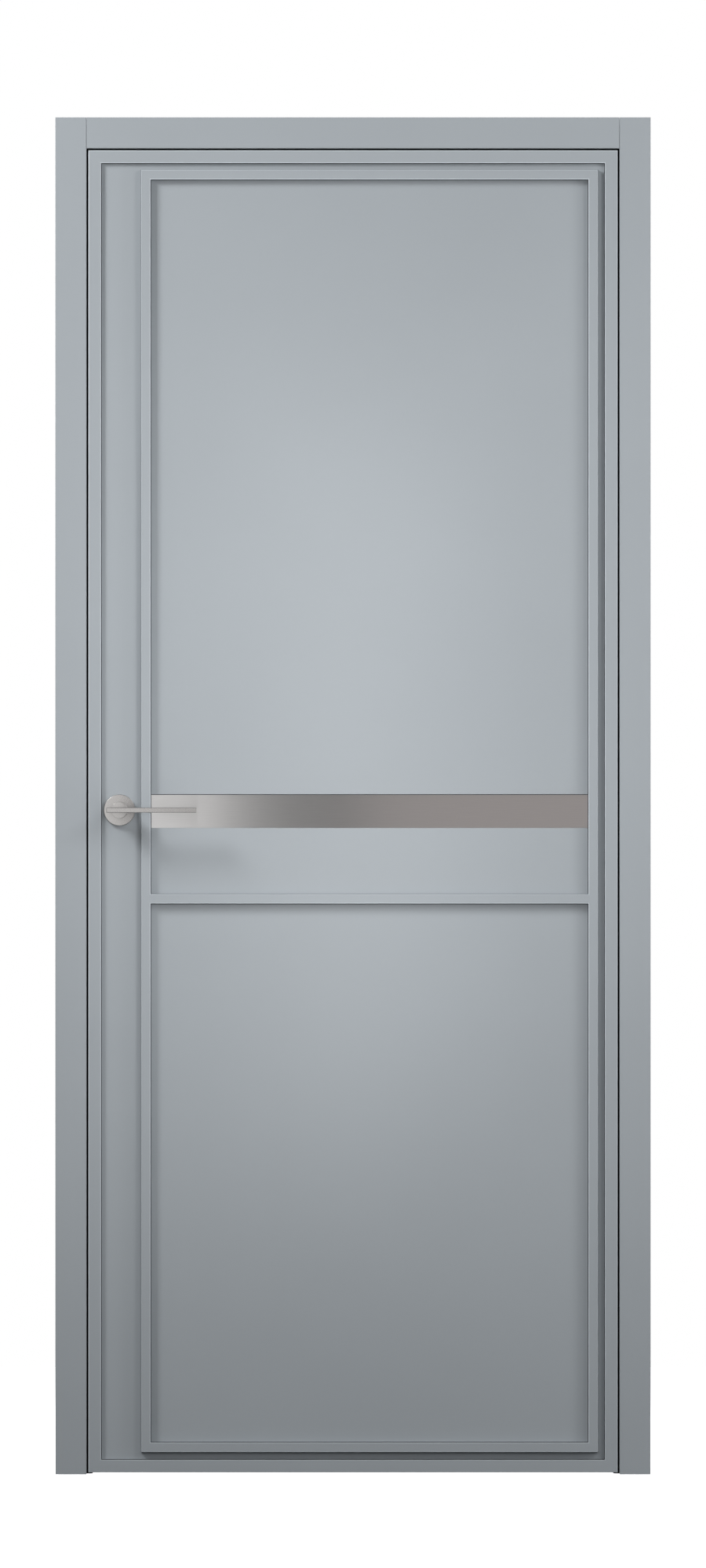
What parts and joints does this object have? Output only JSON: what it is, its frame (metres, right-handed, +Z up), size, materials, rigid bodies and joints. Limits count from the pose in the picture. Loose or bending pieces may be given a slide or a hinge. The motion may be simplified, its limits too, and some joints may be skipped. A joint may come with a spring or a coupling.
{
  "type": "interior door",
  "caption": "Flush grey interior door with an offset slim raised frame, a metal inlay and lever handles, hung on concealed hinges in a rebated jamb with flat casings",
  "frame": {"origin": "on the hinge jamb's wall face, at floor level, in the middle of the jamb's depth", "axes": "+Z up, +X along the wall to the hinge side, -Y out of the face the door opens towards"},
  "size_m": [0.9, 0.167, 2.053],
  "materials": {
    "grey_paint": "satin",
    "satin_strip": "satin",
    "satin_nickel": "satin",
    "hardware_steel": "satin",
    "black_seal": "matte"
  },
  "bodies": {
    "door_frame": {"hinge_jamb": "grey_paint", "lock_jamb": "grey_paint", "head_jamb": "grey_paint", "front_casing_hinge_side": "grey_paint", "front_casing_lock_side": "grey_paint", "front_casing_head": "grey_paint", "back_casing_hinge_side": "grey_paint", "back_casing_lock_side": "grey_paint", "back_casing_head": "grey_paint", "stop_seals": "black_seal", "strike_plate": "hardware_steel", "hinge_jamb_cups": "hardware_steel"},
    "hinge_arm_links": {"hinge_arms": "hardware_steel"},
    "door_leaf": {"leaf_slab": "grey_paint", "front_border_left": "grey_paint", "front_border_right": "grey_paint", "front_border_top": "grey_paint", "front_border_bottom": "grey_paint", "front_slim_bar_left": "grey_paint", "front_slim_bar_right": "grey_paint", "front_slim_bar_top": "grey_paint", "front_slim_bar_bottom": "grey_paint", "front_middle_rail": "grey_paint", "back_border_left": "grey_paint", "back_border_right": "grey_paint", "back_border_top": "grey_paint", "back_border_bottom": "grey_paint", "back_slim_bar_left": "grey_paint", "back_slim_bar_right": "grey_paint", "back_slim_bar_top": "grey_paint", "back_slim_bar_bottom": "grey_paint", "back_middle_rail": "grey_paint", "front_metal_inlay": "satin_strip", "back_metal_inlay": "satin_strip", "hinge_leaf_cups": "hardware_steel", "lock_forend": "hardware_steel", "latch_bolt": "hardware_steel", "front_rose": "satin_nickel", "back_rose": "satin_nickel"},
    "lever_set": {"front_lever_neck": "satin_nickel", "front_lever_bar": "satin_nickel", "spindle": "hardware_steel", "back_lever_neck": "satin_nickel", "back_lever_bar": "satin_nickel"}
  },
  "joints": [
    {"name": "leaf_swing", "type": "hinge", "parent": "door_frame", "child": "door_leaf", "pos_m": [-0.0367, -0.061, 1], "axis": [0, 0, 1], "range_deg": [0, 110]},
    {"name": "hinge_arm_swing", "type": "hinge", "parent": "door_frame", "child": "hinge_arm_links", "pos_m": [-0.0367, -0.061, 1], "axis": [0, 0, 1], "range_deg": [0, 55]},
    {"name": "lever_press", "type": "hinge", "parent": "door_leaf", "child": "lever_set", "pos_m": [-0.7912, -0.036, 1.005], "axis": [0, 1, 0], "range_deg": [0, 45], "stiffness_Nm_per_rad": 0.8, "springref_deg": -34.38}
  ],
  "couplings": [
    {"joint": "hinge_arm_swing", "follows": "leaf_swing", "ratio": 0.5}
  ]
}
